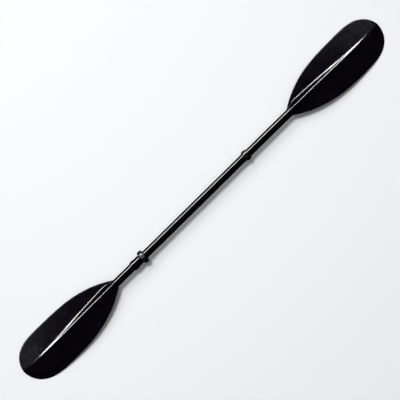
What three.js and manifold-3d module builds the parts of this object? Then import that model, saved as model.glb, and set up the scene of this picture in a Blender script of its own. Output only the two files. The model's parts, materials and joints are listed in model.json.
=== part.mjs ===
// A short double-bladed kayak paddle that comes apart at a push-button joint.
// Millimetres. +X runs along the shaft to the right blade, +Z is up, and the blades lie back side up.
// The origin is on the ground under the middle of the paddle.
import * as THREE from "three";
import { mergeVertices } from "three/addons/utils/BufferGeometryUtils.js";
import Module from "manifold-3d";

const wasm = await Module();
wasm.setup();

// ---- Driving dimensions ----
const PADDLE_LENGTH = 1800;
const BLADE_LENGTH = 462;
const BLADE_HALF_WIDTH = 89.4;
const BLADE_LEAN = 10.4; // the tip's outline is this much fuller towards +Y
const SHAFT_HEIGHT = 37; // shaft axis above the ground
const FEATHER_STEP = 15; // degrees between index holes
const LATCH_ROLL = 7.5; // degrees from the blades' back round to the push button
const GAP = 0.15; // between glued or sliding round pieces
const ROUND = 36; // sides of a turned piece

const TUBE = { outer: 15, inner: 13.5 };
const NECK_LENGTH = 55;
const JOINT_X = -314; // where the two sections part
const COLLAR = { left: -313, right: -293, radius: 25.5, corner: 7 };
const LATCH_X = -303;
const LATCH_TRAVEL = 2.5;
const COLLAR_SPLIT = -305; // the collar's two rings meet here
const SLEEVE = { left: -358, right: -315, radius: 17, beadRadius: 18.3, beadCorner: 3, rim: 0.6 };
const SPIGOT = { left: -380, right: -214, inner: 11.6, outer: 13.35, pinX: -330 };
const YOKE = { outer: 19.5, thickness: 3, armTop: 24.6 };
const BUTTON = { straight: 3.5, radius: 4.5, bottom: 22.3, top: 27, wellFloor: 17.7 };
const SPRING = { offset: 4.8, radius: 2.1, wire: 0.6, turns: 5, top: 24.9 };
const DRIP_RING = { x: 217.5, radius: 20.2, length: 20 };
const STOPPER_X = -190;
const RIVET = { inset: 30, shank: 1.9, head: 4, length: 6.5, holeRadius: 2.2 }; // inset from the root
const LATCH_HOLE_RADIUS = 1.8;
const INDEX_HOLE_RADIUS = 1.4;
const PIN = { radius: 1.8, holeRadius: 2 };
const SEAL_HALF_THICKNESS = 0.8;

const BLADE_ROOT_X = PADDLE_LENGTH / 2 - BLADE_LENGTH;
const LATCH_TURN = THREE.MathUtils.degToRad(LATCH_ROLL);

// ---- Materials ----
const colours = {
  shaft: new THREE.MeshStandardMaterial({ color: 0x08080a, roughness: 0.16, metalness: 0 }),
  blade: new THREE.MeshStandardMaterial({ color: 0x0d0d10, roughness: 0.36, metalness: 0 }),
  collar: new THREE.MeshStandardMaterial({ color: 0x131316, roughness: 0.4, metalness: 0 }),
  rubber: new THREE.MeshStandardMaterial({ color: 0x0f0f11, roughness: 0.6, metalness: 0 }),
  button: new THREE.MeshStandardMaterial({ color: 0x2a2a2e, roughness: 0.3, metalness: 0 }),
  steel: new THREE.MeshStandardMaterial({ color: 0xb4b6ba, roughness: 0.3, metalness: 1 }),
  foam: new THREE.MeshStandardMaterial({ color: 0x2b2b2e, roughness: 0.95, metalness: 0 }),
};

// ---- Solid modelling helpers ----
function toSolid(geometry) {
  const bare = geometry.clone();
  bare.deleteAttribute("normal");
  bare.deleteAttribute("uv");
  const merged = mergeVertices(bare, 1e-4);
  const vertProperties = new Float32Array(merged.attributes.position.array);
  const triVerts = new Uint32Array(merged.index.array);
  return new wasm.Manifold(new wasm.Mesh({ numProp: 3, vertProperties, triVerts }));
}

function toGeometry(solid) {
  const mesh = solid.getMesh();
  const geometry = new THREE.BufferGeometry();
  geometry.setAttribute("position", new THREE.BufferAttribute(mesh.vertProperties, 3));
  geometry.setIndex(new THREE.BufferAttribute(mesh.triVerts, 1));
  geometry.computeVertexNormals();
  return geometry;
}

function cut(geometry, ...tools) {
  const solid = tools.reduce((left, tool) => left.subtract(toSolid(tool)), toSolid(geometry));
  return toGeometry(solid);
}

// Turns an [x, radius] profile, listed anticlockwise with x to the right, about the X axis.
// It either closes on itself, or starts and ends on the axis.
function turned(profile, sides = ROUND) {
  const onAxis = profile[0][1] === 0;
  const whole = onAxis ? profile : [...profile, profile[0]];
  const points = whole.toReversed().map(([x, radius]) => new THREE.Vector2(radius, x));
  return new THREE.LatheGeometry(points, sides).rotateZ(-Math.PI / 2);
}

function sleeve(left, right, inner, outer) {
  return turned([[left, inner], [right, inner], [right, outer], [left, outer]]);
}

function solidRod(left, right, radius, sides = ROUND) {
  return new THREE.CylinderGeometry(radius, radius, right - left, sides)
    .rotateZ(-Math.PI / 2)
    .translate((left + right) / 2, 0, 0);
}

// A rod across the shaft at x, standing along Z from bottom to top.
function upright(x, bottom, top, radius, sides = 24) {
  return new THREE.CylinderGeometry(radius, radius, top - bottom, sides)
    .rotateX(Math.PI / 2)
    .translate(x, 0, (bottom + top) / 2);
}

// A drill from below the shaft up to its axis.
function undersideDrill(x, radius, sides) {
  return upright(x, -TUBE.outer - 5, 0, radius, sides);
}

// Turns a closed [z, radius] profile about the Z axis.
function turnedUpright(profile, sides = 24) {
  return turned(profile, sides).rotateY(-Math.PI / 2);
}

// Points of a circular arc as [x, radius] pairs, angles in degrees.
function arc(x, radius, size, from, to, steps) {
  return Array.from({ length: steps + 1 }, (_, i) => {
    const angle = THREE.MathUtils.degToRad(from + ((to - from) * i) / steps);
    return [x + size * Math.cos(angle), radius + size * Math.sin(angle)];
  });
}

function part(name, geometry, material) {
  const mesh = new THREE.Mesh(geometry, material);
  mesh.name = name;
  return mesh;
}

// ---- Blade ----
// s runs from 0 at the root to 1 at the tip, and y across the blade.
const WIDEST_AT = 0.669;
const FLARE = 2.79; // how fast the outline opens from the root
const TIP_ROUNDING = 3.28; // 2 would be an ellipse, and more is blunter
const ROOT_HALF_WIDTH = 16;
const BLADE_DROP = 26; // how far the tip is spooned towards the power face
const EDGE_THICKNESS = 2.4;
const MIDDLE_THICKNESS = 5;
const ROOT_SLOPE = Math.tan(THREE.MathUtils.degToRad(4));
const TIP_SLOPE = Math.tan(THREE.MathUtils.degToRad(13));
const SPINE = { end: 0.94, halfWidth: 30, narrowing: 14, fade: 2.65, flank: 2.9 };
const KEEL = { end: 0.4, halfWidth: 24, narrowing: 12, fade: 1.2, flank: 2 }; // on the power face
const ROOT_BLEND = 0.13; // share of the length over which the round neck turns into the blade
const STATIONS = 26;
const WING_STEPS = 4;
const SPINE_STEPS = 6;

function halfWidth(s) {
  if (s < WIDEST_AT) {
    const rest = 1 - s / WIDEST_AT;
    return ROOT_HALF_WIDTH + (BLADE_HALF_WIDTH - ROOT_HALF_WIDTH) * (1 - rest ** FLARE);
  }
  const beyond = (s - WIDEST_AT) / (1 - WIDEST_AT);
  return BLADE_HALF_WIDTH * Math.sqrt(Math.max(0, 1 - beyond ** TIP_ROUNDING));
}

// The edges lean to one side towards the tip, while the spine stays straight.
function leaned(s, y, lean) {
  const across = y / halfWidth(s);
  const shareOfWhole = s ** 8;
  const beyond = Math.max(0, (s - 0.4) / 0.6);
  return y + lean * beyond * beyond * THREE.MathUtils.lerp(across * across, 1, shareOfWhole);
}

// The blade's middle surface: spooned along its length and sloping down from the spine.
function middleHeight(s, y) {
  const grown = THREE.MathUtils.smoothstep(s, 0, ROOT_BLEND);
  const slope = THREE.MathUtils.lerp(ROOT_SLOPE, TIP_SLOPE, s) * grown;
  const rounding = 4;
  return -BLADE_DROP * s * s - slope * (Math.hypot(y, rounding) - rounding);
}

function halfThickness(s, y) {
  const grown = THREE.MathUtils.smoothstep(s, 0, ROOT_BLEND);
  const across = Math.min(1, Math.abs(y) / halfWidth(s));
  const middle = THREE.MathUtils.lerp(EDGE_THICKNESS, MIDDLE_THICKNESS, grown * (1 - s));
  return THREE.MathUtils.lerp(middle, EDGE_THICKNESS, across * across) / 2;
}

// A rib that is a half circle at the root and becomes a bell-shaped ridge with wide fillets.
function ribHeight(s, y, rib) {
  const grown = THREE.MathUtils.smoothstep(s, 0, ROOT_BLEND);
  const tallness = (TUBE.outer - EDGE_THICKNESS / 2) * Math.max(0, 1 - s / rib.end) ** rib.fade;
  const reach = Math.abs(y) / ribHalfWidth(s, rib);
  return tallness * Math.max(0, 1 - reach * reach) ** THREE.MathUtils.lerp(0.5, rib.flank, grown);
}

function ribHalfWidth(s, rib) {
  const grown = THREE.MathUtils.smoothstep(s, 0, ROOT_BLEND);
  const wide = Math.min(rib.halfWidth - rib.narrowing * s, halfWidth(s) * 0.9);
  return THREE.MathUtils.lerp(TUBE.outer, wide, grown);
}

// Positions across one half of the blade, from the edge to the centre line.
function halfSteps(s, rib) {
  const foot = ribHalfWidth(s, rib);
  const edge = halfWidth(s);
  const wing = Array.from({ length: WING_STEPS }, (_, i) => edge + ((foot - edge) * i) / WING_STEPS);
  const ridge = Array.from({ length: SPINE_STEPS }, (_, i) => {
    return foot * Math.cos((i / SPINE_STEPS) * (Math.PI / 2));
  });
  return [...wing, ...ridge];
}

function acrossSteps(s, rib) {
  const half = halfSteps(s, rib);
  return [...half, 0, ...half.toReversed().map((y) => -y)];
}

// One closed section of the blade as [y, z] points, from the +Y edge over the back and round.
function bladeSection(s, lean) {
  const back = acrossSteps(s, SPINE).map((y) => {
    const rise = halfThickness(s, y) + ribHeight(s, y, SPINE);
    return [leaned(s, y, lean), middleHeight(s, y) + rise];
  });
  const front = acrossSteps(s, KEEL).map((y) => {
    const fall = halfThickness(s, y) + ribHeight(s, y, KEEL);
    return [leaned(s, -y, lean), middleHeight(s, y) - fall];
  });
  return [...back, ...front];
}

function neckSection(radius) {
  const count = 2 * (2 * (WING_STEPS + SPINE_STEPS) + 1);
  return Array.from({ length: count }, (_, i) => {
    const angle = ((i + 0.5) / count) * 2 * Math.PI;
    return [radius * Math.cos(angle), radius * Math.sin(angle)];
  });
}

// Skins a list of sections, each { x, ring: [[y, z], ...] } with equal counts, and closes both ends.
function loft(sections) {
  const count = sections[0].ring.length;
  const points = sections.flatMap(({ x, ring }) => ring.map(([y, z]) => [x, y, z]));
  const faces = [];
  for (let i = 0; i + 1 < sections.length; i++) {
    for (let j = 0; j < count; j++) {
      const here = i * count + j;
      const next = i * count + ((j + 1) % count);
      faces.push(here, next, here + count, next, next + count, here + count);
    }
  }
  [0, sections.length - 1].forEach((i) => {
    const { x, ring } = sections[i];
    const centre = points.length;
    points.push([x, mean(ring, 0), mean(ring, 1)]);
    for (let j = 0; j < count; j++) {
      const here = i * count + j;
      const next = i * count + ((j + 1) % count);
      faces.push(...(i === 0 ? [centre, next, here] : [centre, here, next]));
    }
  });
  const geometry = new THREE.BufferGeometry();
  geometry.setAttribute("position", new THREE.Float32BufferAttribute(points.flat(), 3));
  geometry.setIndex(faces);
  return geometry;
}

function mean(ring, axis) {
  return ring.reduce((sum, point) => sum + point[axis], 0) / ring.length;
}

// The ground as a block in the blade's own frame, to flatten the edges that the blade rests on.
function groundBlock() {
  const depth = 100;
  return new THREE.BoxGeometry(2 * BLADE_LENGTH, 400, depth)
    .translate(BLADE_LENGTH / 2, 0, -depth / 2 - SHAFT_HEIGHT);
}

// A blade with its neck plug, growing along +X from its root at x = 0.
function bladeGeometry(lean) {
  const plug = TUBE.inner - GAP;
  const chamfer = 2;
  const shoulder = 0.3; // from the tube's end to the blade's first full section
  const neck = [
    { x: -NECK_LENGTH, ring: neckSection(plug - chamfer) },
    { x: chamfer - NECK_LENGTH, ring: neckSection(plug) },
    { x: shoulder, ring: neckSection(plug) },
  ];
  const body = Array.from({ length: STATIONS }, (_, i) => {
    const s = (1 - Math.cos((Math.PI * i) / STATIONS)) / 2;
    return { x: shoulder + s * (BLADE_LENGTH - shoulder), ring: bladeSection(s, lean) };
  });
  const tip = { x: BLADE_LENGTH - 0.05, ring: bladeSection(0.9995, lean) };
  const hollow = solidRod(-NECK_LENGTH - 1, -8, 10.2, 32);
  const rivetHole = undersideDrill(-RIVET.inset, RIVET.holeRadius);
  return cut(loft([...neck, ...body, tip]), hollow, rivetHole, groundBlock());
}

// A blind rivet pointing up, with its domed head below z = 0.
function rivet() {
  const { shank, head, length } = RIVET;
  const rise = head * 0.35;
  return turnedUpright([
    [length, 0],
    [length, shank],
    [0, shank],
    [0, head],
    [-rise * 0.6, head * 0.8],
    [-rise, head * 0.4],
    [-rise, 0],
  ]);
}

// ---- Shaft tubes ----
function longTube() {
  const tube = sleeve(COLLAR.left + 0.2, BLADE_ROOT_X, TUBE.inner, TUBE.outer);
  const latchHole = undersideDrill(LATCH_X, LATCH_HOLE_RADIUS).rotateX(LATCH_TURN);
  const rivetHole = undersideDrill(BLADE_ROOT_X - RIVET.inset, RIVET.holeRadius);
  return cut(tube, rivetHole, latchHole);
}

function shortTube() {
  const tube = sleeve(-BLADE_ROOT_X, SLEEVE.right - 0.2, TUBE.inner, TUBE.outer);
  const rivetHole = undersideDrill(RIVET.inset - BLADE_ROOT_X, RIVET.holeRadius);
  return cut(tube, rivetHole, ...spigotPinHoles());
}

// ---- Spigot: the inner ferrule that joins the two sections ----
function spigot() {
  const tube = sleeve(SPIGOT.left, SPIGOT.right, SPIGOT.inner, SPIGOT.outer);
  return cut(tube, ...spigotPinHoles(), ...indexHoles());
}

// One hole for each feather angle. The latch's tooth faces the middle one as the blades lie in line.
function indexHoles() {
  const steps = [-4, -3, -2, -1, 0, 1, 2, 3, 4];
  return steps.map((step) => {
    const hole = undersideDrill(LATCH_X, INDEX_HOLE_RADIUS, 12);
    return hole.rotateX(LATCH_TURN + THREE.MathUtils.degToRad(step * FEATHER_STEP));
  });
}

function spigotPinHoles() {
  return [1, -1].map((side) => {
    return upright(SPIGOT.pinX, 5, TUBE.outer + 5, PIN.holeRadius).rotateX((side * Math.PI) / 2);
  });
}

function spigotPin(side) {
  const pin = upright(SPIGOT.pinX, SPIGOT.inner + 0.2, TUBE.outer - 0.2, PIN.radius);
  return pin.rotateX((side * Math.PI) / 2);
}

// A cap that plugs the spigot's end and keeps water out of the short section.
function spigotCap() {
  const plug = SPIGOT.inner - GAP;
  const face = SPIGOT.right + 0.2;
  return turned([
    [face + 6, 0],
    [face + 6, SPIGOT.outer - 4],
    [face + 4, SPIGOT.outer - 1.2],
    [face + 1, SPIGOT.outer],
    [face, SPIGOT.outer],
    [face, plug],
    [face - 11, plug],
    [face - 12, plug - 1],
    [face - 12, 0],
  ]);
}

// ---- Outer sleeve of the short section, with a rounded bead at its far end ----
function jointSleeve() {
  const { left, right, radius, beadRadius, beadCorner, rim } = SLEEVE;
  const bore = TUBE.outer + GAP;
  return turned([
    [left, bore],
    [right, bore],
    [right, radius - rim],
    [right - rim, radius],
    [left + 23, radius],
    ...arc(left + 17, beadRadius - beadCorner, beadCorner, 60, 90, 3),
    ...arc(left + 5, beadRadius - beadCorner, beadCorner, 90, 180, 4),
    [left, bore + 0.5],
  ]);
}

// ---- Collar of the long section, in two rings with a pocket for the latch ----
function collarRing(left, right) {
  const { radius, corner } = COLLAR;
  const bore = TUBE.outer + GAP;
  const rounded = [
    ...arc(COLLAR.right - corner, radius - corner, corner, 0, 90, 6),
    ...arc(COLLAR.left + corner, radius - corner, corner, 90, 180, 6),
  ];
  const whole = turned([[COLLAR.left, bore], [COLLAR.right, bore], ...rounded]);
  return cut(whole, solidRod(COLLAR.left - 9, left, 40), solidRod(right, COLLAR.right + 9, 40));
}

function collarBody() {
  const ring = collarRing(COLLAR_SPLIT, COLLAR.right);
  return cut(ring, yokePocket(), buttonWell());
}

function collarCover() {
  const ring = collarRing(COLLAR.left, COLLAR_SPLIT - 0.15);
  return cut(ring, buttonWell());
}

// Two half circles joined by straight sides: radius, then the heights of the lower and upper centres.
function slotOutline(radius, low, high, target = new THREE.Shape()) {
  target.absarc(0, high, radius, 0, Math.PI);
  target.absarc(0, low, radius, Math.PI, 2 * Math.PI);
  target.closePath();
  return target;
}

// Stands an outline drawn across the shaft on the plane x = left and thickens it along the shaft.
function plateAcross(shape, left, thickness) {
  return new THREE.ExtrudeGeometry(shape, { depth: thickness, bevelEnabled: false, curveSegments: 20 })
    .rotateX(Math.PI / 2)
    .rotateZ(Math.PI / 2)
    .translate(left, 0, 0);
}

function yokePocket() {
  const outline = slotOutline(YOKE.outer + 0.4, -LATCH_TRAVEL - 0.4, LATCH_TRAVEL + 0.4);
  return plateAcross(outline, COLLAR_SPLIT - 1, YOKE.thickness + 1.8);
}

function stadium(halfLength, radius) {
  const outline = new THREE.Shape();
  outline.absarc(halfLength, 0, radius, -Math.PI / 2, Math.PI / 2);
  outline.absarc(-halfLength, 0, radius, Math.PI / 2, (3 * Math.PI) / 2);
  outline.closePath();
  return outline;
}

function raised(shape, x, bottom, top) {
  const depth = top - bottom;
  return new THREE.ExtrudeGeometry(shape, { depth, bevelEnabled: false, curveSegments: 10 })
    .translate(x, 0, bottom);
}

function buttonWell() {
  return raised(stadium(BUTTON.straight, BUTTON.radius + 0.4), LATCH_X, BUTTON.wellFloor, 40);
}

// ---- Latch: a yoke round the tube that the push button drives, and the button's two springs ----
function latchYoke() {
  const outline = slotOutline(YOKE.outer, 0, LATCH_TRAVEL);
  outline.holes.push(slotOutline(TUBE.outer + 0.5, 0, LATCH_TRAVEL, new THREE.Path()));
  const left = LATCH_X - YOKE.thickness / 2;
  const plate = toSolid(plateAcross(outline, left, YOKE.thickness));
  const arm = new THREE.BoxGeometry(YOKE.thickness, 6, YOKE.armTop - 20)
    .translate(LATCH_X, 0, (YOKE.armTop + 20) / 2);
  const toothTop = -TUBE.inner - 0.2;
  const tooth = new THREE.BoxGeometry(2, 2, 3).translate(LATCH_X, 0, toothTop - 1.5);
  return toGeometry(plate.add(toSolid(arm)).add(toSolid(tooth)));
}

function pushButton() {
  const { straight, radius, bottom, top } = BUTTON;
  const layers = [
    { inset: 0, from: bottom, to: top - 1.2 },
    { inset: 0.5, from: top - 1.2, to: top - 0.5 },
    { inset: 1.5, from: top - 0.5, to: top },
  ];
  const pad = layers
    .map(({ inset, from, to }) => toSolid(raised(stadium(straight, radius - inset), LATCH_X, from, to)))
    .reduce((whole, layer) => whole.add(layer));
  const armSlot = new THREE.BoxGeometry(YOKE.thickness + 0.4, 6.4, 10)
    .translate(LATCH_X, 0, YOKE.armTop + 0.3 - 5);
  const springBores = [-1, 1].map((side) => {
    const x = LATCH_X + side * SPRING.offset;
    return upright(x, BUTTON.bottom - 5, SPRING.top + 0.2, SPRING.radius + 0.4);
  });
  return cut(toGeometry(pad), armSlot, ...springBores);
}

// A compression spring standing on the well's floor.
function buttonSpring(side) {
  const height = SPRING.top - BUTTON.wellFloor - SPRING.wire;
  const base = BUTTON.wellFloor + 0.1 + SPRING.wire / 2;
  const coilRadius = SPRING.radius - SPRING.wire / 2;
  const path = new THREE.CatmullRomCurve3(
    Array.from({ length: SPRING.turns * 10 + 1 }, (_, i) => {
      const turn = (i / 10) * 2 * Math.PI;
      const z = base + (height * i) / (SPRING.turns * 10);
      return new THREE.Vector3(coilRadius * Math.cos(turn), coilRadius * Math.sin(turn), z);
    }),
  );
  const wire = new THREE.Shape().absarc(0, 0, SPRING.wire / 2, 0, 2 * Math.PI);
  const steps = SPRING.turns * 8;
  return new THREE.ExtrudeGeometry(wire, { steps, extrudePath: path, curveSegments: 3 })
    .translate(LATCH_X + side * SPRING.offset, 0, 0);
}

// ---- Rings ----
function dripRing() {
  const half = DRIP_RING.length / 2;
  const bore = TUBE.outer + GAP;
  const bulge = DRIP_RING.radius - bore;
  const crown = Array.from({ length: 13 }, (_, i) => {
    const angle = (Math.PI * i) / 12;
    return [half * Math.cos(angle), bore + 1 + (bulge - 1) * Math.sin(angle) ** 0.8];
  });
  return turned([[-half, bore], [half, bore], ...crown]);
}

function jointSeal() {
  const left = JOINT_X - SEAL_HALF_THICKNESS;
  const right = JOINT_X + SEAL_HALF_THICKNESS;
  return sleeve(left, right, SPIGOT.outer + GAP, SLEEVE.radius - SLEEVE.rim);
}

function tubeStopper() {
  return solidRod(STOPPER_X, STOPPER_X + 25, TUBE.inner - GAP);
}

// ---- Assembly ----
// The left blade is turned round, so its outline leans the other way in its own frame.
function placedBlade(name, rootX, turnedRound) {
  const lean = turnedRound ? -BLADE_LEAN : BLADE_LEAN;
  const mesh = part(name, bladeGeometry(lean), colours.blade);
  mesh.position.x = rootX;
  mesh.rotation.z = turnedRound ? Math.PI : 0;
  return mesh;
}

function bladeRivet(name, x) {
  const mesh = part(name, rivet(), colours.steel);
  mesh.position.set(x, 0, -TUBE.outer - 0.1);
  return mesh;
}

// The collar with the latch inside it, turned about the shaft to where the button sits.
function latchAndCollar() {
  const group = new THREE.Group();
  group.add(
    part("collar_body", collarBody(), colours.collar),
    part("collar_cover", collarCover(), colours.collar),
    part("latch_yoke", latchYoke(), colours.steel),
    part("push_button", pushButton(), colours.button),
    part("button_spring_left", buttonSpring(-1), colours.steel),
    part("button_spring_right", buttonSpring(1), colours.steel),
  );
  group.rotation.x = LATCH_TURN;
  return group;
}

function longSection() {
  const group = new THREE.Group();
  const ring = part("drip_ring", dripRing(), colours.rubber);
  ring.position.x = DRIP_RING.x;
  group.add(
    part("long_shaft_tube", longTube(), colours.shaft),
    placedBlade("right_blade", BLADE_ROOT_X, false),
    bladeRivet("right_blade_rivet", BLADE_ROOT_X - RIVET.inset),
    part("long_tube_stopper", tubeStopper(), colours.foam),
    latchAndCollar(),
    ring,
  );
  return group;
}

function shortSection() {
  const group = new THREE.Group();
  group.add(
    part("short_shaft_tube", shortTube(), colours.shaft),
    placedBlade("left_blade", -BLADE_ROOT_X, true),
    bladeRivet("left_blade_rivet", RIVET.inset - BLADE_ROOT_X),
    part("joint_sleeve", jointSleeve(), colours.shaft),
    part("joint_seal", jointSeal(), colours.rubber),
    part("spigot", spigot(), colours.steel),
    part("spigot_pin_front", spigotPin(1), colours.steel),
    part("spigot_pin_rear", spigotPin(-1), colours.steel),
    part("spigot_cap", spigotCap(), colours.collar),
  );
  return group;
}

const paddle = new THREE.Group();
paddle.add(longSection(), shortSection());
paddle.position.z = SHAFT_HEIGHT;

export default paddle;
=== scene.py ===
"""The looks of a short double-bladed kayak paddle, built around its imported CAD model.

Shapes are worked out in millimetres about the shaft's axis, which is X, with Z pointing away from the blades'
power faces. MM turns them into metres when a piece is placed.
"""

import json
import math

import bmesh
import bpy
from mathutils import Matrix, Vector


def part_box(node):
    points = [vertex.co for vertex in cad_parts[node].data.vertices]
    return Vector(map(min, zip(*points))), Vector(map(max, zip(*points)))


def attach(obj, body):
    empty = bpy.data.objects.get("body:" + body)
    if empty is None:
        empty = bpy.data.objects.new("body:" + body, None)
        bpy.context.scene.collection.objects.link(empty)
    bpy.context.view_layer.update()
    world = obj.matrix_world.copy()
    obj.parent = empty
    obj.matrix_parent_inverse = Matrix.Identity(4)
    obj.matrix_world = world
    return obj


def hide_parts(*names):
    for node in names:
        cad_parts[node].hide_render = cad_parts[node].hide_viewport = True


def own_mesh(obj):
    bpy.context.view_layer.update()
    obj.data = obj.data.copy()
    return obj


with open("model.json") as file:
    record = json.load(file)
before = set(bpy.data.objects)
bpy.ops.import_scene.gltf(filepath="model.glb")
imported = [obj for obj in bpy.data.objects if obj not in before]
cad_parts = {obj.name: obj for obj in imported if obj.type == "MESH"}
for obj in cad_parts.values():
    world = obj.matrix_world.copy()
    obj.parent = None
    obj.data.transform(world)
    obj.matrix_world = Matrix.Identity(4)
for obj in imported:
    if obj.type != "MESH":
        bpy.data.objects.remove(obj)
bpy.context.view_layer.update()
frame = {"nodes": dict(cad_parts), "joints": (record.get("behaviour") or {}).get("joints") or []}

MM = 0.001

# ---- Where things are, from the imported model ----
JOINTS = {joint["name"]: joint for joint in frame["joints"]}
PRESS_AXIS = Vector(JOINTS["button_press"]["axis"])
AXIS_HEIGHT = JOINTS["feather"]["pos_m"][2]
LATCH_ROLL = math.atan2(PRESS_AXIS.y, -PRESS_AXIS.z)

# From millimetres about the shaft's axis to the row frame, for the paddle and for the latch with its collar.
SHAFT = Matrix.Translation((0, 0, AXIS_HEIGHT)) @ Matrix.Scale(MM, 4)
LATCH = SHAFT @ Matrix.Rotation(LATCH_ROLL, 4, "X")


def span(node):
    """The lowest and highest X of a CAD node, in millimetres."""
    low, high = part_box(node)
    return low.x / MM, high.x / MM


TUBE_OUTER = 15.0
TUBE_INNER = 13.5
GAP = 0.15
BORE = TUBE_OUTER + GAP  # of each ring that goes over a tube
OUTER_SIDES, INNER_SIDES = 128, 96
HARD_EDGE = 35  # degrees


# ---- Mesh helpers ----
def sharpen(mesh, degrees):
    """Smooth shading, with hard edges where two faces meet at more than this angle."""
    work = bmesh.new()
    work.from_mesh(mesh)
    for face in work.faces:
        face.smooth = True
    for edge in work.edges:
        edge.smooth = not (edge.is_manifold and edge.calc_face_angle() > math.radians(degrees))
    work.to_mesh(mesh)
    work.free()


def make_piece(name, shape, place, body, material, replaces, degrees=HARD_EDGE):
    """A piece from points and faces, riding its body and standing in for the CAD nodes it replaces."""
    points, faces = shape
    mesh = bpy.data.meshes.new(name)
    mesh.from_pydata([place @ Vector(p) for p in points], [], faces)
    mesh.update()
    sharpen(mesh, degrees)
    mesh.materials.append(material)
    piece = bpy.data.objects.new(name, mesh)
    bpy.context.scene.collection.objects.link(piece)
    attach(piece, body)
    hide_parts(*replaces)
    return piece


def skin(rings, closed_ends=True):
    """Points and faces over a row of rings with equal counts, anticlockwise as seen from the last one."""
    count = len(rings[0])
    points = [p for ring in rings for p in ring]
    faces = []
    for i in range(len(rings) - 1):
        for j in range(count):
            k = (j + 1) % count
            faces.append((i * count + j, i * count + k, (i + 1) * count + k, (i + 1) * count + j))
    if closed_ends:
        faces.append(tuple(reversed(range(count))))
        faces.append(tuple(range((len(rings) - 1) * count, len(rings) * count)))
    return points, faces


def turned(profile, sides):
    """Turns a closed [x, radius] outline, listed anticlockwise with x to the right, about the X axis."""
    count = len(profile)
    points = []
    for i in range(sides):
        angle = 2 * math.pi * i / sides
        points += [(x, r * math.sin(angle), r * math.cos(angle)) for x, r in profile]
    faces = []
    for i in range(sides):
        here, there = i * count, ((i + 1) % sides) * count
        for j in range(count):
            k = (j + 1) % count
            faces.append((here + j, here + k, there + k, there + j))
    return points, faces


def turned_solid(profile, sides):
    """Turns an outline that runs from the axis at its right end to the axis at its left end."""
    angles = [2 * math.pi * i / sides for i in range(sides)]
    rings = []
    for x, r in reversed(profile[1:-1]):
        rings.append([(x, -r * math.sin(a), r * math.cos(a)) for a in angles])
    points, faces = skin(rings, closed_ends=False)
    left, right = len(points), len(points) + 1
    points += [(profile[-1][0], 0, 0), (profile[0][0], 0, 0)]
    last = (len(rings) - 1) * sides
    for j in range(sides):
        k = (j + 1) % sides
        faces.append((left, k, j))
        faces.append((right, last + j, last + k))
    return points, faces


def softened(outline, radius, steps):
    """A closed outline with each corner rounded."""
    out = []
    for i, point in enumerate(outline):
        here = Vector(point)
        back = Vector(outline[i - 1]) - here
        ahead = Vector(outline[(i + 1) % len(outline)]) - here
        half = back.angle(ahead) / 2
        reach = min(radius / math.tan(half), back.length * 0.49, ahead.length * 0.49)
        start, end = here + back.normalized() * reach, here + ahead.normalized() * reach
        for step in range(steps + 1):
            t = step / steps
            out.append(tuple(start * (1 - t) ** 2 + here * (2 * t * (1 - t)) + end * t**2))
    return out


def arc(x, r, size, start, end, steps):
    """Points round a corner's centre, from one angle to another in degrees."""
    angles = [math.radians(start + (end - start) * i / steps) for i in range(steps + 1)]
    return [(x + size * math.cos(a), r + size * math.sin(a)) for a in angles]


def stadium(straight, radius, x, z):
    """Points of a flat ring with two half-round ends, at a height z, anticlockwise seen from above."""
    steps = 14
    ring = []
    for centre, start in ((straight, -90), (-straight, 90)):
        for i in range(steps + 1):
            a = math.radians(start + 180 * i / steps)
            ring.append((x + centre + radius * math.cos(a), radius * math.sin(a), z))
    return ring


def drill(x, from_radius, to_radius, size, angle):
    """A cylinder through the wall of a tube, at an angle about the shaft. 0 degrees is straight down."""
    sides = 32
    angles = [2 * math.pi * i / sides for i in range(sides)]
    turn = Matrix.Rotation(math.radians(angle), 4, "X")
    rings = []
    for height in (-to_radius, -from_radius):
        rings.append([turn @ Vector((x + size * math.cos(a), size * math.sin(a), height)) for a in angles])
    return skin(rings)


def joined(*parts):
    """Several shapes as one set of points and faces."""
    points, faces = [], []
    for part_points, part_faces in parts:
        start = len(points)
        points += part_points
        faces += [tuple(i + start for i in face) for face in part_faces]
    return points, faces


def carve(piece, cutter, place):
    """Takes a closed shape away from a piece, for good."""
    points, faces = cutter
    mesh = bpy.data.meshes.new("cutter")
    mesh.from_pydata([place @ Vector(p) for p in points], [], faces)
    tool = bpy.data.objects.new("cutter", mesh)
    bpy.context.scene.collection.objects.link(tool)
    modifier = piece.modifiers.new("carve", "BOOLEAN")
    modifier.operation = "DIFFERENCE"
    modifier.solver = "EXACT"
    modifier.object = tool
    bpy.context.view_layer.update()
    carved = bpy.data.meshes.new_from_object(piece.evaluated_get(bpy.context.evaluated_depsgraph_get()))
    piece.modifiers.clear()
    piece.data = carved
    sharpen(carved, HARD_EDGE)
    bpy.data.objects.remove(tool)


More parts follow.
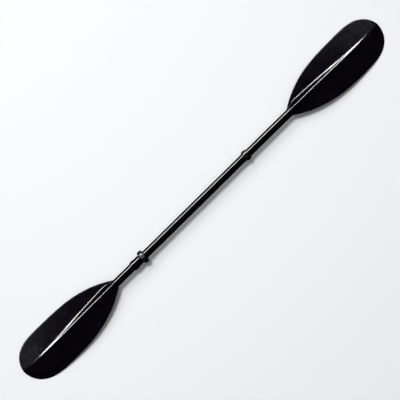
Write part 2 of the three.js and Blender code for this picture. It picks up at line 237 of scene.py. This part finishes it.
# ---- Materials ----
class Finish:
    """A node material with small helpers for its textures."""

    def __init__(self, name):
        self.material = bpy.data.materials.new(name)
        self.material.use_nodes = True
        self.tree = self.material.node_tree
        self.shader = self.tree.nodes["Principled BSDF"]
        self.place = self.tree.nodes.new("ShaderNodeTexCoord").outputs["Object"]

    def set(self, **values):
        """Sets the shader's inputs, with an underscore for each space in a name."""
        for name, value in values.items():
            self.shader.inputs[name.replace("_", " ")].default_value = value

    def link(self, source, target):
        self.tree.links.new(source, target)

    def noise(self, size_mm, detail=3.0, stretch=(1, 1, 1), turn=0.0):
        """Noise whose blobs are about this size, longer along an axis where stretch is more than 1."""
        mapping = self.tree.nodes.new("ShaderNodeMapping")
        mapping.vector_type = "TEXTURE"
        mapping.inputs["Rotation"].default_value = (0, 0, turn)
        mapping.inputs["Scale"].default_value = [s * size_mm * MM for s in stretch]
        self.link(self.place, mapping.inputs["Vector"])
        node = self.tree.nodes.new("ShaderNodeTexNoise")
        node.inputs["Scale"].default_value = 1.0
        node.inputs["Detail"].default_value = detail
        node.inputs["Roughness"].default_value = 0.5
        self.link(mapping.outputs["Vector"], node.inputs["Vector"])
        return node.outputs["Fac"]

    def cells(self, size_mm):
        """Rounded bumps, about this far apart."""
        node = self.tree.nodes.new("ShaderNodeTexVoronoi")
        node.inputs["Scale"].default_value = 1 / (size_mm * MM)
        self.link(self.place, node.inputs["Vector"])
        return node.outputs["Distance"]

    def ranged(self, source, low, high, to_low, to_high):
        node = self.tree.nodes.new("ShaderNodeMapRange")
        for name, value in (("From Min", low), ("From Max", high), ("To Min", to_low), ("To Max", to_high)):
            node.inputs[name].default_value = value
        self.link(source, node.inputs["Value"])
        return node.outputs["Result"]

    def math(self, operation, first, second):
        node = self.tree.nodes.new("ShaderNodeMath")
        node.operation = operation
        for value, target in ((first, node.inputs[0]), (second, node.inputs[1])):
            if isinstance(value, (int, float)):
                target.default_value = value
            else:
                self.link(value, target)
        return node.outputs[0]

    def blend(self, factor, first, second):
        node = self.tree.nodes.new("ShaderNodeMix")
        node.data_type = "RGBA"
        self.link(factor, node.inputs["Factor"])
        for value, target in ((first, node.inputs["A"]), (second, node.inputs["B"])):
            if isinstance(value, tuple):
                target.default_value = (*value, 1)
            else:
                self.link(value, target)
        return node.outputs["Result"]

    def bump(self, height, depth_mm, before=None):
        node = self.tree.nodes.new("ShaderNodeBump")
        node.inputs["Strength"].default_value = 1.0
        node.inputs["Distance"].default_value = depth_mm * MM
        self.link(height, node.inputs["Height"])
        if before:
            self.link(before, node.inputs["Normal"])
        return node.outputs["Normal"]

    def worn_edges(self, low, high):
        """1 on outer edges, and 0 on flat ground and in hollows."""
        node = self.tree.nodes.new("ShaderNodeNewGeometry")
        return self.ranged(node.outputs["Pointiness"], low, high, 0, 1)

    def scratches(self, size_mm, length, turn, share):
        """Thin lines in patches over a share of the surface, where a stretched noise crosses its middle."""
        line_width, patch_size, fade = 0.012, 90, 0.05
        lines = self.noise(size_mm, detail=2, stretch=(length, 1, 1), turn=turn)
        away = self.math("ABSOLUTE", self.math("SUBTRACT", lines, 0.5), 0.0)
        thin = self.ranged(away, 0.0, line_width, 1, 0)
        patches = self.ranged(self.noise(patch_size, detail=2), 1 - share - fade, 1 - share + fade, 0, 1)
        return self.math("MULTIPLY", thin, patches)


def shaft_gloss():
    """Black tube with a clear gloss: slight ripple, faint rubbed patches and a few hairline scratches."""
    f = Finish("shaft_gloss_black")
    patches = f.ranged(f.noise(60, detail=4), 0.35, 0.65, 0, 1)
    tone = f.blend(patches, (0.0010, 0.0010, 0.0013), (0.0022, 0.0021, 0.0026))
    f.link(tone, f.shader.inputs["Base Color"])
    hair = f.scratches(1.6, 40, 0.35, 0.35)
    rubbed = f.ranged(f.noise(25, detail=5), 0.4, 0.75, 0.07, 0.12)
    f.link(f.math("ADD", rubbed, f.math("MULTIPLY", hair, 0.10)), f.shader.inputs["Roughness"])
    ripple = f.bump(f.noise(9, detail=1.5, stretch=(3, 1, 1)), 0.005)
    f.link(f.bump(hair, 0.004, ripple), f.shader.inputs["Normal"])
    f.set(IOR=1.47)
    return f.material


def blade_plastic():
    """Black moulded plastic, a little blue, with a fine grain, scuffs at the rim and light scratches."""
    f = Finish("blade_moulded_black")
    cloudy = f.ranged(f.noise(45, detail=4), 0.35, 0.65, 0, 1)
    tone = f.blend(cloudy, (0.0016, 0.0012, 0.0026), (0.0030, 0.0023, 0.0044))
    broken = f.ranged(f.noise(3.5, detail=4), 0.45, 0.62, 0, 1)
    scuffs = f.math("MULTIPLY", f.worn_edges(0.53, 0.62), broken)
    f.link(f.blend(scuffs, tone, (0.030, 0.030, 0.033)), f.shader.inputs["Base Color"])
    along = f.scratches(2.2, 30, 0.15, 0.45)
    slanted = f.scratches(1.8, 24, 0.9, 0.35)
    marks = f.math("MAXIMUM", along, slanted)
    base = f.ranged(f.noise(14, detail=4), 0.3, 0.7, 0.10, 0.14)
    dulled = f.math("MULTIPLY", f.math("MAXIMUM", marks, scuffs), 0.07)
    f.link(f.math("ADD", base, dulled), f.shader.inputs["Roughness"])
    grain = f.bump(f.cells(0.7), 0.008)
    waves = f.bump(f.noise(16, detail=2), 0.018, grain)
    f.link(f.bump(marks, -0.003, waves), f.shader.inputs["Normal"])
    f.set(IOR=1.35)
    return f.material


def collar_plastic():
    """Black satin plastic with a spark-eroded mould grain."""
    f = Finish("collar_satin_black")
    cloudy = f.ranged(f.noise(12, detail=4), 0.35, 0.65, 0, 1)
    edge = f.worn_edges(0.54, 0.64)
    tone = f.blend(cloudy, (0.0030, 0.0030, 0.0034), (0.0055, 0.0054, 0.0060))
    f.link(f.blend(edge, tone, (0.03, 0.03, 0.032)), f.shader.inputs["Base Color"])
    f.link(f.ranged(f.noise(5, detail=3), 0.3, 0.7, 0.24, 0.32), f.shader.inputs["Roughness"])
    f.link(f.bump(f.cells(0.45), 0.03), f.shader.inputs["Normal"])
    f.set(IOR=1.5)
    return f.material


def button_plastic():
    """Mid-grey gloss plastic, a little uneven in tone and gloss."""
    f = Finish("button_gloss_grey")
    cloudy = f.ranged(f.noise(4, detail=4), 0.35, 0.65, 0, 1)
    f.link(f.blend(cloudy, (0.055, 0.055, 0.058), (0.075, 0.074, 0.078)), f.shader.inputs["Base Color"])
    f.link(f.ranged(f.noise(2.5, detail=3), 0.3, 0.7, 0.20, 0.32), f.shader.inputs["Roughness"])
    f.link(f.bump(f.noise(0.8, detail=3), 0.01), f.shader.inputs["Normal"])
    return f.material


def rubber():
    """Black rubber with a dusty bloom in patches and a fine tooth."""
    f = Finish("rubber_black")
    bloom = f.ranged(f.noise(8, detail=5), 0.42, 0.72, 0, 1)
    f.link(f.blend(bloom, (0.0025, 0.0025, 0.0028), (0.0060, 0.0060, 0.0064)), f.shader.inputs["Base Color"])
    f.link(f.ranged(bloom, 0, 1, 0.24, 0.38), f.shader.inputs["Roughness"])
    tooth = f.bump(f.noise(0.35, detail=4), 0.02)
    f.link(f.bump(f.noise(6, detail=2), 0.04, tooth), f.shader.inputs["Normal"])
    return f.material


def drawn_metal(name, dark, light, roughness, line_mm):
    """Metal with fine lines along the shaft, as drawing or turning leaves."""
    f = Finish(name)
    lines = f.noise(line_mm, detail=4, stretch=(60, 1, 1))
    f.link(f.blend(lines, dark, light), f.shader.inputs["Base Color"])
    stains = f.noise(11, detail=4)
    mixed = f.math("ADD", f.math("MULTIPLY", lines, 0.5), f.math("MULTIPLY", stains, 0.5))
    f.link(f.ranged(mixed, 0.3, 0.7, roughness - 0.08, roughness + 0.10), f.shader.inputs["Roughness"])
    f.link(f.bump(lines, 0.006), f.shader.inputs["Normal"])
    f.set(Metallic=1.0)
    return f.material


def foam():
    """Closed-cell foam."""
    f = Finish("foam_grey")
    bubbles = f.cells(0.9)
    f.link(f.blend(bubbles, (0.02, 0.02, 0.022), (0.05, 0.05, 0.052)), f.shader.inputs["Base Color"])
    f.link(f.ranged(f.noise(4), 0.3, 0.7, 0.85, 0.97), f.shader.inputs["Roughness"])
    f.link(f.bump(bubbles, 0.25), f.shader.inputs["Normal"])
    return f.material


SHAFT_GLOSS = shaft_gloss()
BLADE_PLASTIC = blade_plastic()
COLLAR_PLASTIC = collar_plastic()
BUTTON_PLASTIC = button_plastic()
RUBBER = rubber()
ALUMINIUM = drawn_metal("aluminium_drawn", (0.50, 0.51, 0.53), (0.66, 0.67, 0.69), 0.30, 0.5)
STEEL = drawn_metal("steel_bright", (0.52, 0.52, 0.53), (0.68, 0.68, 0.69), 0.26, 0.3)
FOAM = foam()


# ---- Blades ----
BLADE_HALF_WIDTH = 89.25
BLADE_LEAN = 10.4  # how much fuller the tip's outline is towards +Y
LEAN_START = 0.4
WIDEST_AT = 0.669
FLARE = 2.79
TIP_ROUNDING = 3.28
LAST_STATION = 0.9998  # short of 1, where the outline would shrink to nothing
ROOT_HALF_WIDTH = 15.6
BLADE_DROP = 26.0
EDGE_THICKNESS = 2.4
EDGE_ROUNDING = 2.2
MIDDLE_THICKNESS = 5.0
ROOT_SLOPE = math.tan(math.radians(4))
TIP_SLOPE = math.tan(math.radians(13))
RIDGE_ROUNDING = 4  # how gently the two wings meet
SPINE = {"end": 0.94, "half_width": 30.0, "narrowing": 14.0, "fade": 2.2, "flank": 2.9}
CREST_HEIGHT, CREST_HALF_WIDTH = 0.9, 11.5
KEEL = {"end": 0.4, "half_width": 24.0, "narrowing": 12.0, "fade": 1.2, "flank": 2.0}
ROOT_BLEND = 0.13
NECK_RADIUS = TUBE_INNER - GAP
NECK_CHAMFER = 2
BLADE_STATIONS, WING_STEPS, RIDGE_STEPS = 130, 14, 22


def smoothstep(x, low, high):
    t = min(1, max(0, (x - low) / (high - low)))
    return t * t * (3 - 2 * t)


def lerp(a, b, t):
    return a + (b - a) * t


def half_width(s):
    """Half the blade's width at a share s of its length from the root."""
    if s < WIDEST_AT:
        return ROOT_HALF_WIDTH + (BLADE_HALF_WIDTH - ROOT_HALF_WIDTH) * (1 - (1 - s / WIDEST_AT) ** FLARE)
    beyond = (s - WIDEST_AT) / (1 - WIDEST_AT)
    return BLADE_HALF_WIDTH * math.sqrt(max(0, 1 - beyond**TIP_ROUNDING))


def leaned(s, y, lean):
    """Y with the outline's lean towards one side, which grows from its start to the tip."""
    across = y / half_width(s)
    beyond = max(0, (s - LEAN_START) / (1 - LEAN_START))
    return y + lean * beyond**2 * lerp(across**2, 1, s**8)


def middle_height(s, y):
    """Height of the blade's middle surface, which drops towards the tip and slopes down to both edges."""
    slope = lerp(ROOT_SLOPE, TIP_SLOPE, s) * smoothstep(s, 0, ROOT_BLEND)
    return -BLADE_DROP * s * s - slope * (math.hypot(y, RIDGE_ROUNDING) - RIDGE_ROUNDING)


def rib_height(s, y, rib):
    """How far the spine or the keel stands out. It starts as round as the tube and tapers to nothing."""
    grown = smoothstep(s, 0, ROOT_BLEND)
    tallness = (TUBE_OUTER - EDGE_THICKNESS / 2) * max(0, 1 - s / rib["end"]) ** rib["fade"]
    wide = lerp(TUBE_OUTER, min(rib["half_width"] - rib["narrowing"] * s, half_width(s) * 0.9), grown)
    return tallness * max(0, 1 - (y / wide) ** 2) ** lerp(0.5, rib["flank"], grown)


def crest_height(s, y):
    """The spine's low sharp end, which carries on towards the tip where the spine itself has faded."""
    lasting = smoothstep(s, 0.2, 0.55) * (1 - smoothstep(s, 0.75, 1))
    return CREST_HEIGHT * lasting * max(0, 1 - (y / CREST_HALF_WIDTH) ** 2) ** 2


def edge_rounding(width):
    return min(EDGE_ROUNDING, width * 0.4)


def half_thickness(s, y):
    """Thicker in the middle near the root, and rounded off at the edge."""
    width = half_width(s)
    middle = lerp(EDGE_THICKNESS, MIDDLE_THICKNESS, smoothstep(s, 0, ROOT_BLEND) * (1 - s))
    full = lerp(middle, EDGE_THICKNESS, min(1, abs(y) / width) ** 2) / 2
    rounding = edge_rounding(width)
    inside = (abs(y) - (width - rounding)) / rounding
    return full * math.sqrt(max(0, 1 - inside**2)) if inside > 0 else full


def across_steps(width):
    """Positions from one edge to the other, closer together over the spine and on the rounded edges."""
    rounding = edge_rounding(width)
    edge = [width - rounding * (1 - math.cos(math.radians(a))) for a in range(0, 91, 18)]
    flat = width - rounding
    ridge = min(SPINE["half_width"], flat * 0.8)
    wing = [lerp(flat, ridge, i / WING_STEPS) for i in range(1, WING_STEPS + 1)]
    top = [ridge * (1 - i / RIDGE_STEPS) for i in range(1, RIDGE_STEPS)]
    half = edge + wing + top
    return half + [0] + [-y for y in reversed(half)]


def blade_section(s, lean):
    """A ring of (y, z) points, over the back from the +Y edge to the -Y edge, then along the power face."""
    ys = across_steps(half_width(s))
    ring = []
    for y in ys:
        z = middle_height(s, y) + half_thickness(s, y) + rib_height(s, y, SPINE) + crest_height(s, y)
        ring.append((leaned(s, y, lean), z))
    for y in reversed(ys[1:-1]):
        z = middle_height(s, y) - half_thickness(s, y) - rib_height(s, y, KEEL)
        ring.append((leaned(s, y, lean), z))
    return ring


def make_blade(name, root, ends, turned_round, body):
    """root is the X of the shoulder, and ends are the X of the tip and of the neck's end inside the tube."""
    tip, inner = ends
    length, neck_end = abs(tip - root), -abs(root - inner)
    lean = -BLADE_LEAN if turned_round else BLADE_LEAN
    rings = []
    for i in range(BLADE_STATIONS):
        s = min(LAST_STATION, (1 - math.cos(math.pi * i / (BLADE_STATIONS - 1))) / 2)
        rings.append([(s * length, y, z) for y, z in blade_section(s, lean)])
    neck = []
    chamfered = (neck_end, NECK_RADIUS - NECK_CHAMFER), (neck_end + NECK_CHAMFER, NECK_RADIUS)
    for x, radius in (*chamfered, (0, NECK_RADIUS)):
        ring = []
        for _, y, z in rings[0]:
            angle = math.atan2(z, y)
            ring.append((x, radius * math.cos(angle), radius * math.sin(angle)))
        neck.append(ring)
    shape = skin([list(reversed(ring)) for ring in neck + rings])
    turn = Matrix.Rotation(math.pi, 4, "Z") if turned_round else Matrix.Identity(4)
    place = SHAFT @ Matrix.Translation((root, 0, 0)) @ turn
    node = name.removesuffix("_form")
    blade = make_piece(name, shape, place, body, BLADE_PLASTIC, (node,), degrees=50)
    # Flattens the lands on the lower edges, on which the paddle lies.
    for vertex in blade.data.vertices:
        vertex.co.z = max(vertex.co.z, 0.0)


LONG_TUBE = span("long_shaft_tube")
SHORT_TUBE = span("short_shaft_tube")
SHOULDER_GAP = 0.1
make_blade("right_blade_form", LONG_TUBE[1] + SHOULDER_GAP, span("right_blade")[::-1], False, "long_section")
make_blade("left_blade_form", SHORT_TUBE[0] - SHOULDER_GAP, span("left_blade"), True, "short_section")


# ---- Shaft tubes ----
def ring_outline(left, right, inner, outer):
    return [(left, inner), (right, inner), (right, outer), (left, outer)]


def make_tube(name, node, ends, body):
    shape = turned(softened(ring_outline(*ends, TUBE_INNER, TUBE_OUTER), 0.35, 3), OUTER_SIDES)
    make_piece(name, shape, SHAFT, body, SHAFT_GLOSS, (node,))


make_tube("long_tube_gloss", "long_shaft_tube", LONG_TUBE, "long_section")
make_tube("short_tube_gloss", "short_shaft_tube", SHORT_TUBE, "short_section")


# ---- Outer sleeve of the short section ----
SLEEVE_RADIUS = 17.0
BEAD_RADIUS = 18.3
BEAD_START, BEAD_END, SLOPE_END = 6, 17, 24.5


def make_sleeve():
    node = "joint_sleeve"
    left, right = span(node)
    rim, foot, front, back = 0.8, 2, 3.5, 3
    outline = [
        (left, BORE),
        (right, BORE),
        *arc(right - rim, SLEEVE_RADIUS - rim, rim, 0, 90, 5),
        *arc(left + SLOPE_END, SLEEVE_RADIUS + foot, foot, 270, 240, 4),
        *arc(left + BEAD_END, BEAD_RADIUS - front, front, 60, 90, 5),
        *arc(left + BEAD_START, BEAD_RADIUS - back, back, 90, 175, 10),
    ]
    shape = turned(outline, OUTER_SIDES)
    make_piece("joint_sleeve_gloss", shape, SHAFT, "short_section", SHAFT_GLOSS, (node,))


make_sleeve()

# ---- Collar in two rings, with the button's well cut through them ----
COLLAR_RADIUS = 25.5
COLLAR_CORNER = 7.0
BUTTON_X = sum(span("push_button")) / 2
BUTTON_STRAIGHT, BUTTON_RADIUS = 3.5, 4.5
BUTTON_BOTTOM, BUTTON_TOP = 22.3, 27.0
WELL_FLOOR = 17.7
WELL_RADIUS = BUTTON_RADIUS + 0.4


def make_collar_ring(name, node, rounded_left):
    """One ring of the collar: rounded at its free end, and flat with a fine chamfer where the two meet."""
    left, right = span(node)
    chamfer, mouth, steps = 0.3, 0.5, 14
    centre = COLLAR_RADIUS - COLLAR_CORNER
    if rounded_left:
        outline = [(left + mouth, BORE), (right, BORE)]
        outline += [(right, COLLAR_RADIUS - chamfer), (right - chamfer, COLLAR_RADIUS)]
        outline += arc(left + COLLAR_CORNER, centre, COLLAR_CORNER, 90, 180, steps)
        outline += [(left, BORE + mouth)]
    else:
        outline = [(left, BORE), (right - mouth, BORE), (right, BORE + mouth)]
        outline += arc(right - COLLAR_CORNER, centre, COLLAR_CORNER, 0, 90, steps)
        outline += [(left + chamfer, COLLAR_RADIUS), (left, COLLAR_RADIUS - chamfer)]
    shape = turned(outline, OUTER_SIDES)
    ring = make_piece(name, shape, LATCH, "long_section", COLLAR_PLASTIC, (node,))
    flare, flare_depth, above = 1.4, 1.2, 1.6
    well = [stadium(BUTTON_STRAIGHT, WELL_RADIUS, BUTTON_X, WELL_FLOOR)]
    well.append(stadium(BUTTON_STRAIGHT, WELL_RADIUS, BUTTON_X, COLLAR_RADIUS - flare_depth))
    well.append(stadium(BUTTON_STRAIGHT, WELL_RADIUS + flare, BUTTON_X, COLLAR_RADIUS + above))
    carve(ring, skin(well), LATCH)


make_collar_ring("collar_body_satin", "collar_body", False)
make_collar_ring("collar_cover_satin", "collar_cover", True)


# ---- Push button, hollow underneath for the yoke's arm and the springs ----
def make_button():
    wall, ceiling, chamfer = 1.0, 25.2, 0.25
    rounding, crowning = 1.1, 0.25
    rim = BUTTON_TOP - crowning
    rings = []
    for share in (0.15, 0.6, 1.0):
        rings.append(stadium(BUTTON_STRAIGHT * share, (BUTTON_RADIUS - wall) * share, BUTTON_X, ceiling))
    rings.append(stadium(BUTTON_STRAIGHT, BUTTON_RADIUS - wall, BUTTON_X, BUTTON_BOTTOM))
    rings.append(stadium(BUTTON_STRAIGHT, BUTTON_RADIUS - chamfer, BUTTON_X, BUTTON_BOTTOM))
    rings.append(stadium(BUTTON_STRAIGHT, BUTTON_RADIUS, BUTTON_X, BUTTON_BOTTOM + chamfer))
    for angle in range(0, 91, 15):
        a = math.radians(angle)
        inset = rounding * (1 - math.cos(a))
        height = rim - rounding + rounding * math.sin(a)
        rings.append(stadium(BUTTON_STRAIGHT, BUTTON_RADIUS - inset, BUTTON_X, height))
    for share in (0.85, 0.65, 0.4, 0.15):
        height = lerp(BUTTON_TOP, rim, share**2)
        rings.append(stadium(BUTTON_STRAIGHT * share, (BUTTON_RADIUS - rounding) * share, BUTTON_X, height))
    node = "push_button"
    body = "release_button"
    make_piece("push_button_gloss", skin(rings), LATCH, body, BUTTON_PLASTIC, (node,))


make_button()

# ---- Button springs ----
SPRING_OFFSET, SPRING_RADIUS, SPRING_WIRE, SPRING_TURNS = 4.8, 2.1, 0.6, 5
SPRING_TOP = 24.9
SPRING_STEPS, SPRING_SIDES = 28, 10


def make_spring(name, side):
    """A compression spring with ground ends: its first and last turns lie flat."""
    low, high = WELL_FLOOR + SPRING_WIRE / 2, SPRING_TOP - SPRING_WIRE / 2
    coil = SPRING_RADIUS - SPRING_WIRE / 2
    steps = SPRING_TURNS * SPRING_STEPS
    rings = []
    for i in range(steps + 1):
        t = i / steps
        turn = t * SPRING_TURNS * 2 * math.pi
        z = lerp(low, high, smoothstep(t, -0.12, 1.12))
        outward = Vector((math.cos(turn), math.sin(turn), 0))
        centre = Vector((BUTTON_X + side * SPRING_OFFSET, 0, z)) + outward * coil
        ring = []
        for j in range(SPRING_SIDES):
            a = 2 * math.pi * j / SPRING_SIDES
            direction = outward * math.cos(a) + Vector((0, 0, 1)) * math.sin(a)
            ring.append(centre + direction * (SPRING_WIRE / 2))
        rings.append(ring)
    shape = skin([list(reversed(ring)) for ring in rings])
    node = name.removesuffix("_coil")
    spring = make_piece(name, shape, LATCH, "long_section", STEEL, (node,))
    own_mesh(spring)


make_spring("button_spring_left_coil", -1)
make_spring("button_spring_right_coil", 1)


# ---- Drip ring, joint seal ----
DRIP_RING_RADIUS = 20.15
SEAL_INNER, SEAL_OUTER = 13.5, 16.4


def make_drip_ring():
    left, right = span("drip_ring")
    centre, half = (left + right) / 2, (right - left) / 2
    lip, mouth, fullness, steps = 0.8, 0.3, 0.8, 40
    bulge = DRIP_RING_RADIUS - BORE
    crown = []
    for i in range(steps + 1):
        a = math.pi * i / steps
        crown.append((centre + half * math.cos(a), BORE + lip + (bulge - lip) * math.sin(a) ** fullness))
    shape = turned([(left + mouth, BORE), (right - mouth, BORE)] + crown, OUTER_SIDES)
    make_piece("drip_ring_rubber", shape, SHAFT, "drip_ring", RUBBER, ("drip_ring",))


def make_seal():
    outline = ring_outline(*span("joint_seal"), SEAL_INNER, SEAL_OUTER)
    shape = turned(softened(outline, 0.5, 4), INNER_SIDES)
    make_piece("joint_seal_rubber", shape, SHAFT, "joint_seal", RUBBER, ("joint_seal",))


make_drip_ring()
make_seal()

# ---- Spigot with its index holes, and its cap ----
SPIGOT_INNER, SPIGOT_OUTER = 11.6, 13.35
PIN_X = sum(span("spigot_pin_front")) / 2
INDEX_HOLE_RADIUS, PIN_HOLE_RADIUS = 1.4, 2.0
FEATHER_STEP, STEPS_EACH_WAY = 15, 4


def make_spigot():
    node = "spigot"
    shape = turned(softened(ring_outline(*span(node), SPIGOT_INNER, SPIGOT_OUTER), 0.3, 3), INNER_SIDES)
    spigot = make_piece("spigot_drawn", shape, SHAFT, "short_section", ALUMINIUM, (node,))
    tooth = math.degrees(LATCH_ROLL)
    index_inside, pin_inside, outside = 11.2, 10.5, 14.5
    holes = []
    for step in range(-STEPS_EACH_WAY, STEPS_EACH_WAY + 1):
        angle = tooth + step * FEATHER_STEP
        holes.append(drill(BUTTON_X, index_inside, outside, INDEX_HOLE_RADIUS, angle))
    for angle in (-90, 90):
        holes.append(drill(PIN_X, pin_inside, outside, PIN_HOLE_RADIUS, angle))
    carve(spigot, joined(*holes), SHAFT)


def make_cap():
    node = "spigot_cap"
    left, right = span(node)
    plug, plug_length, nose_length = SPIGOT_INNER - GAP, 11, 6
    face = right - nose_length
    nose = [(right, 0), (right, 6.0), (right - 0.1, 8.2), (right - 0.5, 9.8)]
    nose += [(right - 1.3, 11.3), (right - 2.6, 12.5), (right - 4.2, 13.2)]
    shoulder = [(face + 0.4, SPIGOT_OUTER), (face, SPIGOT_OUTER - 0.2), (face, plug)]
    end = [(face - plug_length, plug), (left + 0.2, plug - 0.8), (left, plug - 1.2), (left, 0)]
    shape = turned_solid(nose + shoulder + end, INNER_SIDES)
    make_piece("spigot_cap_satin", shape, SHAFT, "short_section", COLLAR_PLASTIC, (node,))


make_spigot()
make_cap()


# ---- Blade rivets on the underside ----
RIVET_SIDES = 48


def make_rivet(name, body):
    x = sum(span(name)) / 2
    shank, head, length, chamfer, clearance = 1.9, 4.0, 6.5, 0.4, 0.1
    rise = head * 0.35
    dome = [(-rise + 0.30, 0.0), (-rise + 0.22, 0.7), (-rise + 0.02, 1.0), (-rise, 1.4), (-rise * 0.86, 2.4)]
    dome += [(-rise * 0.58, 3.3), (-rise * 0.2, 3.85), (-0.1, head), (0, head - 0.1)]
    stem = [(length, 0), (length, shank - chamfer), (length - chamfer, shank), (0, shank)]
    shape = turned_solid(stem + list(reversed(dome)), RIVET_SIDES)
    upright = Matrix.Translation((x, 0, -TUBE_OUTER - clearance)) @ Matrix.Rotation(-math.pi / 2, 4, "Y")
    make_piece(name + "_dome", shape, SHAFT @ upright, body, STEEL, (name,))


make_rivet("right_blade_rivet", "long_section")
make_rivet("left_blade_rivet", "short_section")

# ---- CAD nodes that stay as they are, inside the joint ----
KEPT = {"latch_yoke": STEEL, "spigot_pin_front": STEEL, "spigot_pin_rear": STEEL, "long_tube_stopper": FOAM}
for node, material in KEPT.items():
    mesh = frame["nodes"][node].data
    mesh.materials.clear()
    mesh.materials.append(material)

# ---- Camera, nearly overhead, with the paddle on the rising diagonal ----
CAMERA_DISTANCE = 3.2
CAMERA_TILT = math.radians(8.30)
CAMERA_SIDE = math.radians(5.91)
CAMERA_TURN = math.radians(-0.74)
CAMERA_LENS = 80.06
AIM_RIGHT, AIM_UP = -0.0113, -0.0088


def make_camera():
    diagonal_up = Vector((1, 1, 0)).normalized()
    diagonal_right = Vector((1, -1, 0)).normalized()
    up = diagonal_up * math.cos(CAMERA_TURN) + diagonal_right * math.sin(CAMERA_TURN)
    right = diagonal_right * math.cos(CAMERA_TURN) - diagonal_up * math.sin(CAMERA_TURN)
    back = Vector((0, 0, 1)) * math.cos(CAMERA_TILT) * math.cos(CAMERA_SIDE)
    back += right * math.sin(CAMERA_SIDE) - up * math.sin(CAMERA_TILT) * math.cos(CAMERA_SIDE)
    back.normalize()
    across = up.cross(back).normalized()
    upward = back.cross(across)
    aim = Vector((0, 0, AXIS_HEIGHT)) + across * AIM_RIGHT + upward * AIM_UP
    data = bpy.data.cameras.new("camera")
    data.sensor_width = 36
    data.lens = CAMERA_LENS
    camera = bpy.data.objects.new("camera", data)
    bpy.context.scene.collection.objects.link(camera)
    facing = Matrix((across, upward, back)).transposed().to_4x4()
    camera.matrix_world = Matrix.Translation(aim + back * CAMERA_DISTANCE) @ facing
    bpy.context.scene.camera = camera


make_camera()


# ---- Floor and light ----
FLOOR_HALF_SIZE = 6.0
FLOOR_CLEARANCE = 0.0005


def make_floor():
    """A white floor just under the blades. The gloss doesn't reflect it."""
    half = FLOOR_HALF_SIZE
    corners = [(-half, -half, 0), (half, -half, 0), (half, half, 0), (-half, half, 0)]
    mesh = bpy.data.meshes.new("floor")
    mesh.from_pydata(corners, [], [(0, 1, 2, 3)])
    f = Finish("floor_white")
    f.set(Base_Color=(0.852, 0.862, 0.882, 1), Roughness=0.9, Specular_IOR_Level=0.1)
    mesh.materials.append(f.material)
    floor = bpy.data.objects.new("floor", mesh)
    bpy.context.scene.collection.objects.link(floor)
    floor.location.z = -FLOOR_CLEARANCE
    floor.visible_glossy = False


def make_light(name, from_vertical, swing, distance, size, power, glossy=True, diffuse=True):
    """An area light facing the paddle. from_vertical leans it over, and swing turns it from +Y towards +X."""
    lean, turn = math.radians(from_vertical), math.radians(swing)
    toward = Vector((math.sin(lean) * math.sin(turn), math.sin(lean) * math.cos(turn), math.cos(lean)))
    data = bpy.data.lights.new(name, "AREA")
    data.shape = "RECTANGLE"
    data.size, data.size_y = size
    data.energy = power
    light = bpy.data.objects.new(name, data)
    bpy.context.scene.collection.objects.link(light)
    facing = toward.to_track_quat("Z", "Y").to_matrix().to_4x4()
    light.matrix_world = Matrix.Translation(toward * distance) @ facing
    light.visible_glossy = glossy
    light.visible_diffuse = diffuse


def make_world():
    """A pale backdrop that only the camera sees, so that the gloss stays black between the lights."""
    world = bpy.data.worlds.new("studio")
    world.use_nodes = True
    background = world.node_tree.nodes["Background"]
    background.inputs["Color"].default_value = (0.90, 0.91, 0.93, 1)
    background.inputs["Strength"].default_value = 0.9
    world.cycles_visibility.glossy = False
    world.cycles_visibility.diffuse = False
    bpy.context.scene.world = world


make_floor()
make_world()
make_light("key", 17, 0, 7.0, (1.7, 1.7), 290, glossy=False)
make_light("fill", 0, 0, 5.0, (10.0, 10.0), 172, glossy=False)
make_light("soft", 44, 0, 9.0, (4.5, 4.5), 222, glossy=False)
make_light("strip", 46.5, 0, 4.2, (8.0, 0.45), 740, diffuse=False)

bpy.context.scene.view_settings.view_transform = "Standard"
